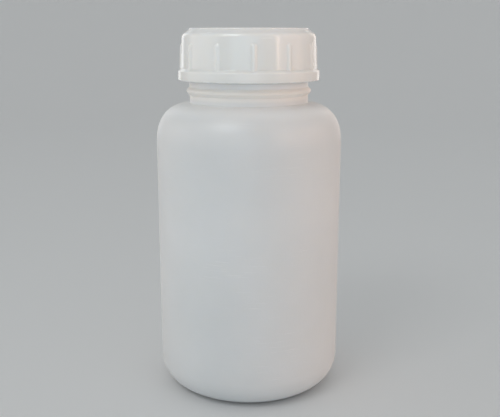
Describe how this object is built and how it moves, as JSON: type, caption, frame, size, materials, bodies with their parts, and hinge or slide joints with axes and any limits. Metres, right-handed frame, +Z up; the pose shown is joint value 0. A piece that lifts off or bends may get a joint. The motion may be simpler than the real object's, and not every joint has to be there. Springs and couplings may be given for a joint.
{
  "type": "wide-mouth plastic reagent bottle",
  "caption": "Round wide-mouth reagent bottle in translucent moulded plastic, with a rounded shoulder, a short neck and a ribbed screw cap that turns and lifts off.",
  "frame": {"origin": "centre of the base, on the surface that the bottle stands on", "axes": "+Z up along the bottle's axis and the cap's turning axis, -Y towards the viewer"},
  "size_m": [0.096, 0.096, 0.188],
  "materials": {
    "bottle_plastic": "translucent natural polyethylene, faintly satin",
    "cap_plastic": "translucent white polypropylene, soft gloss",
    "seal_plastic": "soft white polyethylene"
  },
  "bodies": {
    "bottle_body": {"bottle": "bottle_plastic"},
    "disc_body": {"seal_disc": "seal_plastic"},
    "cap_body": {"screw_cap": "cap_plastic"}
  },
  "joints": [
    {"name": "cap_lift", "type": "slide", "parent": "bottle_body", "child": "disc_body", "axis": [0, 0, 1], "range_m": [0, 0.0272]},
    {"name": "cap_turn", "type": "hinge", "parent": "disc_body", "child": "cap_body", "pos_m": [0, 0, 0.16225], "axis": [0, 0, 1], "range_deg": [0, 1620]}
  ],
  "couplings": [
    {"joint": "cap_lift", "follows": "cap_turn", "m_per_rad": 0.00095493}
  ]
}
